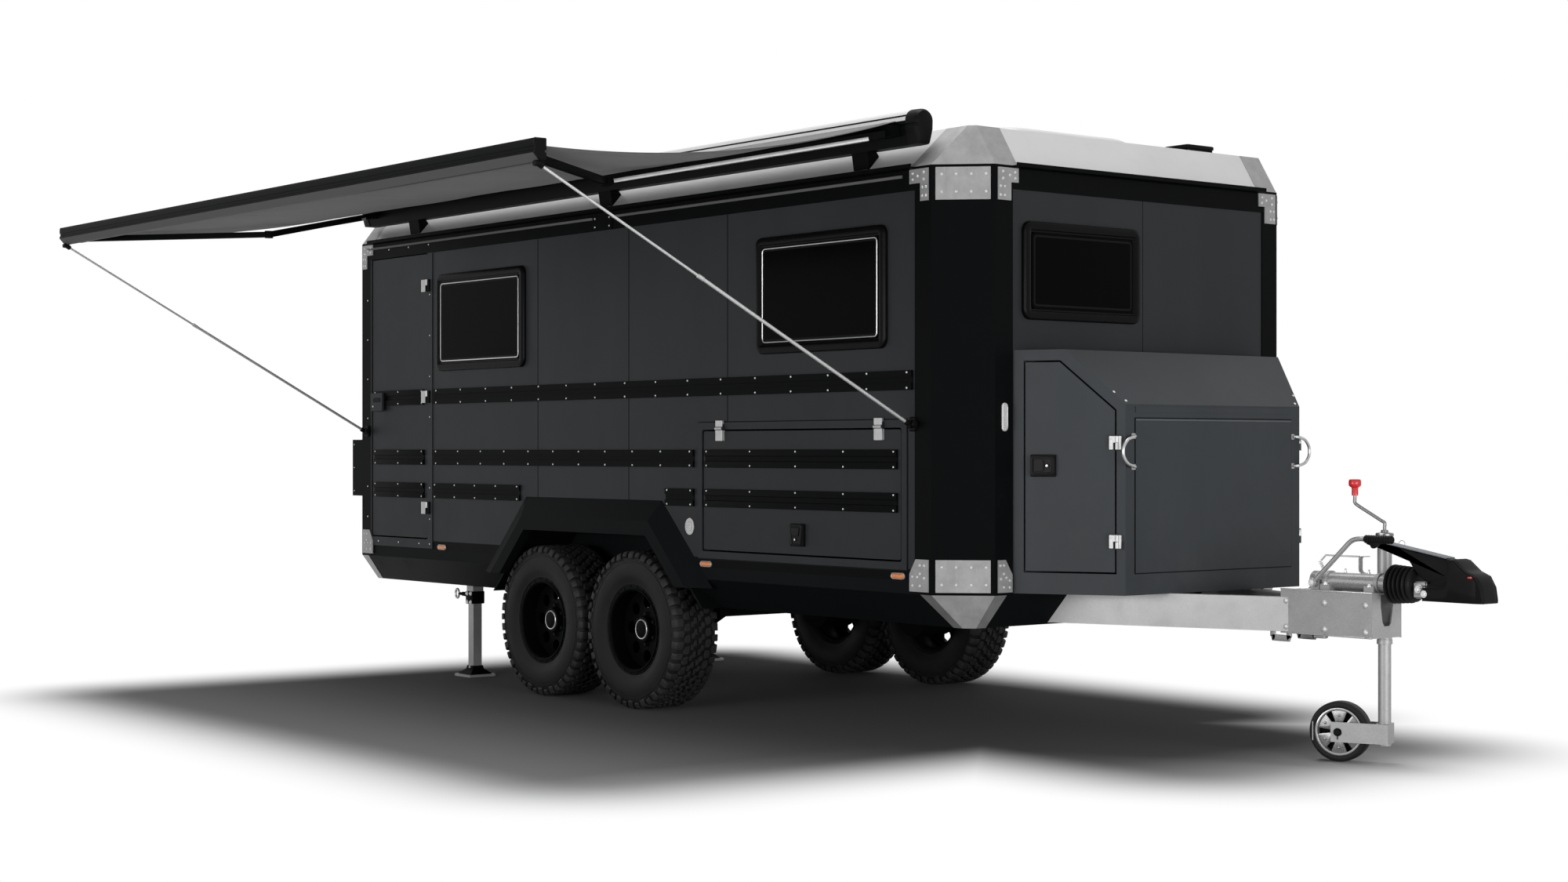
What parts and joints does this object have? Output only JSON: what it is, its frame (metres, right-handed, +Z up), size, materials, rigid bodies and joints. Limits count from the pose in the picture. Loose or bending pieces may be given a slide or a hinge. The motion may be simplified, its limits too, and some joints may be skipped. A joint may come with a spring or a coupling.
{
  "type": "twin-axle box camper trailer with awning",
  "caption": "Off-road box camper trailer standing on tyres, jockey wheel and rear legs, with its side awning out, a front locker, side hatches and an entrance door.",
  "frame": {"origin": "centre of the coupling's ball socket", "axes": "+X forwards along the drawbar, +Y to the trailer's left, +Z up"},
  "size_m": [7.643, 4.2055, 2.81],
  "materials": {
    "panel_grey": "satin",
    "locker_grey": "satin",
    "skirt_black": "satin",
    "black_metal": "satin",
    "underbody_paint": "matt",
    "roof_white": "satin",
    "plate_aluminium": "brushed",
    "bare_aluminium": "satin",
    "galvanised_steel": "galvanised",
    "black_plastic": "satin",
    "dark_glass": "tinted",
    "awning_cloth": "woven",
    "castor_rubber": "satin",
    "road_tyre": "matt",
    "rim_black": "satin",
    "amber_lens": "moulded"
  },
  "bodies": {
    "trailer": {"awning_arms": "black_metal", "awning_brackets": "black_metal", "awning_caps": "black_plastic", "awning_case": "black_metal", "awning_fabric": "awning_cloth", "awning_lead_rail": "black_metal", "awning_struts": "bare_aluminium", "axle_front": "underbody_paint", "axle_rear": "underbody_paint", "chassis_frame": "galvanised_steel", "corner_plates": "plate_aluminium", "corner_posts": "black_metal", "coupling_handle": "black_plastic", "coupling_head": "black_plastic", "door_frames": "panel_grey", "drawbar": "galvanised_steel", "floor_panel": "black_metal", "front_locker": "locker_grey", "grab_handles": "bare_aluminium", "handbrake_bracket": "galvanised_steel", "hull_skirt": "skirt_black", "jockey_crank": "galvanised_steel", "jockey_outer_tube": "galvanised_steel", "lamps": "amber_lens", "lashing_rails": "black_metal", "leg_housings": "galvanised_steel", "overrun_shaft": "galvanised_steel", "rear_locker": "skirt_black", "roof_fittings": "black_plastic", "roof_shell": "roof_white", "roof_unit": "roof_white", "shaft_bellows": "castor_rubber", "top_rails": "black_metal", "wall_front": "panel_grey", "wall_left": "panel_grey", "wall_rear": "panel_grey", "wall_right": "panel_grey", "wheel_arches": "skirt_black", "wheel_wells": "skirt_black", "window_frames": "black_plastic", "window_panes": "dark_glass"},
    "wheel_front_left": {"tyre_front_left": "road_tyre", "rim_front_left": "rim_black"},
    "wheel_front_right": {"tyre_front_right": "road_tyre", "rim_front_right": "rim_black"},
    "wheel_rear_left": {"tyre_rear_left": "road_tyre", "rim_rear_left": "rim_black"},
    "wheel_rear_right": {"tyre_rear_right": "road_tyre", "rim_rear_right": "rim_black"},
    "jockey_slider": {"jockey_inner_tube": "galvanised_steel"},
    "jockey_castor": {"jockey_fork": "galvanised_steel"},
    "jockey_roller": {"jockey_wheel": "castor_rubber"},
    "rear_leg_left": {"leg_left": "galvanised_steel"},
    "rear_leg_right": {"leg_right": "galvanised_steel"},
    "handbrake": {"handbrake_lever": "galvanised_steel"},
    "entrance": {"entrance_door": "panel_grey"},
    "storage_hatch_left": {"hatch_left": "panel_grey"},
    "storage_hatch_right": {"hatch_right": "panel_grey"},
    "locker_side_left": {"locker_door_left": "locker_grey"},
    "locker_side_right": {"locker_door_right": "locker_grey"}
  },
  "joints": [
    {"name": "spin_front_left", "type": "hinge", "parent": "trailer", "child": "wheel_front_left", "pos_m": [-4.221, 1.0075, -0.3235], "axis": [0, 1, 0], "continuous": true},
    {"name": "spin_front_right", "type": "hinge", "parent": "trailer", "child": "wheel_front_right", "pos_m": [-4.221, -1.0075, -0.3235], "axis": [0, 1, 0], "continuous": true},
    {"name": "spin_rear_left", "type": "hinge", "parent": "trailer", "child": "wheel_rear_left", "pos_m": [-5.065, 1.0075, -0.3235], "axis": [0, 1, 0], "continuous": true},
    {"name": "spin_rear_right", "type": "hinge", "parent": "trailer", "child": "wheel_rear_right", "pos_m": [-5.065, -1.0075, -0.3235], "axis": [0, 1, 0], "continuous": true},
    {"name": "jockey_height", "type": "slide", "parent": "trailer", "child": "jockey_slider", "axis": [0, 0, 1], "range_m": [0, 0.25]},
    {"name": "jockey_swivel", "type": "hinge", "parent": "jockey_slider", "child": "jockey_castor", "pos_m": [-0.545, 0.136, -0.55], "axis": [0, 0, 1], "continuous": true},
    {"name": "jockey_spin", "type": "hinge", "parent": "jockey_castor", "child": "jockey_roller", "pos_m": [-0.71592, 0.0652, -0.598], "axis": [-0.3827, 0.9239, 0], "continuous": true},
    {"name": "leg_height_left", "type": "slide", "parent": "trailer", "child": "rear_leg_left", "axis": [0, 0, 1], "range_m": [0, 0.24]},
    {"name": "leg_height_right", "type": "slide", "parent": "trailer", "child": "rear_leg_right", "axis": [0, 0, 1], "range_m": [0, 0.24]},
    {"name": "handbrake_pull", "type": "hinge", "parent": "trailer", "child": "handbrake", "pos_m": [-0.76, -0.062, 0.03], "axis": [0, -1, 0], "range_deg": [0, 50]},
    {"name": "entrance_swing", "type": "hinge", "parent": "trailer", "child": "entrance", "pos_m": [-6.278, -1.132, 0.9], "axis": [0, 0, 1], "range_deg": [0, 100]},
    {"name": "hatch_lift_right", "type": "hinge", "parent": "trailer", "child": "storage_hatch_right", "pos_m": [-2.9, -1.132, 0.69], "axis": [-1, 0, 0], "range_deg": [0, 85]},
    {"name": "hatch_lift_left", "type": "hinge", "parent": "trailer", "child": "storage_hatch_left", "pos_m": [-2.9, 1.132, 0.69], "axis": [1, 0, 0], "range_deg": [0, 85]},
    {"name": "locker_swing_right", "type": "hinge", "parent": "trailer", "child": "locker_side_right", "pos_m": [-1.37276, -0.6009, 0.5], "axis": [0, 0, 1], "range_deg": [0, 100]},
    {"name": "locker_swing_left", "type": "hinge", "parent": "trailer", "child": "locker_side_left", "pos_m": [-1.37276, 0.6009, 0.5], "axis": [0, 0, -1], "range_deg": [0, 100]}
  ]
}
